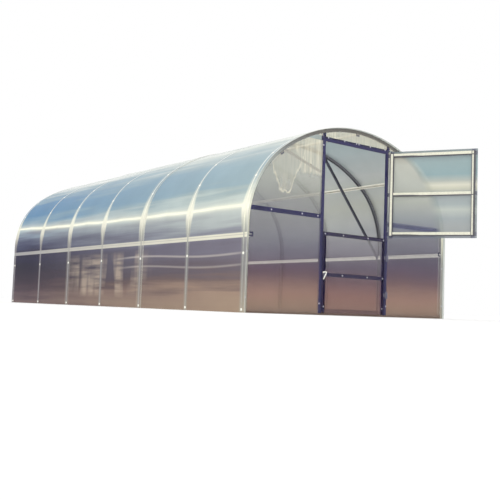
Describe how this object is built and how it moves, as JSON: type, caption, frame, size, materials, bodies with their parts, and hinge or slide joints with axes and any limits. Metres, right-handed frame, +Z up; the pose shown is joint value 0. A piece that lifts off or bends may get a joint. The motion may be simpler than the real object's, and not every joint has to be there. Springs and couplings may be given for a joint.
{
  "type": "arched polycarbonate greenhouse",
  "caption": "Walk-in tunnel greenhouse of bent steel arches under twin-wall polycarbonate sheets, with a door leaf and an open vent leaf above it in the gable.",
  "frame": {"origin": "middle of the front sill's bottom face, on the ground, in the plane of the front arch", "axes": "+Z up, +Y from the front gable to the rear gable, +X to the right seen from the front"},
  "size_m": [3.0204, 6.9377, 2.0502],
  "materials": {
    "galvanised_steel": "dull galvanised",
    "strap_steel": "bright galvanised",
    "latch_enamel": "white enamel",
    "roof_polycarbonate": "clear ribbed twin-wall sheet",
    "gable_polycarbonate": "clear ribbed twin-wall sheet"
  },
  "bodies": {
    "frame": {"arch_1": "galvanised_steel", "arch_2": "galvanised_steel", "arch_3": "galvanised_steel", "arch_4": "galvanised_steel", "arch_5": "galvanised_steel", "arch_6": "galvanised_steel", "arch_7": "galvanised_steel", "purlin_low_left": "galvanised_steel", "purlin_low_right": "galvanised_steel", "purlin_high_left": "galvanised_steel", "purlin_high_right": "galvanised_steel", "ridge_purlin": "galvanised_steel", "base_rail_left": "galvanised_steel", "base_rail_right": "galvanised_steel", "front_sill": "galvanised_steel", "rear_sill": "galvanised_steel", "arch_braces": "galvanised_steel", "roof_sheet_front": "roof_polycarbonate", "roof_sheet_middle": "roof_polycarbonate", "roof_sheet_rear": "roof_polycarbonate", "roof_straps": "strap_steel", "front_post_left": "galvanised_steel", "front_post_right": "galvanised_steel", "front_head_rail": "galvanised_steel", "front_mid_rail_left": "galvanised_steel", "front_mid_rail_right": "galvanised_steel", "front_strut": "galvanised_steel", "front_panel_left": "gable_polycarbonate", "front_panel_right": "gable_polycarbonate", "front_panel_top": "gable_polycarbonate", "front_hinges": "strap_steel", "rear_posts": "galvanised_steel", "rear_rails": "galvanised_steel", "rear_panels": "gable_polycarbonate", "rear_leaf_frames": "galvanised_steel", "rear_leaf_sheets": "gable_polycarbonate", "rear_hinges": "strap_steel"},
    "vent_leaf": {"vent_leaf_frame": "galvanised_steel", "vent_leaf_sheet": "gable_polycarbonate", "vent_leaf_hinges": "strap_steel", "vent_latch": "latch_enamel"},
    "door_leaf": {"door_leaf_frame": "galvanised_steel", "door_leaf_sheet": "gable_polycarbonate", "door_leaf_hinges": "strap_steel", "door_latch": "latch_enamel"}
  },
  "joints": [
    {"name": "vent_hinge", "type": "hinge", "parent": "frame", "child": "vent_leaf", "pos_m": [0.494, -0.031, 0.9], "axis": [0, 0, 1], "range_deg": [-120, 50]},
    {"name": "door_hinge", "type": "hinge", "parent": "frame", "child": "door_leaf", "pos_m": [0.494, -0.031, 0.4], "axis": [0, 0, 1], "range_deg": [0, 170]}
  ]
}
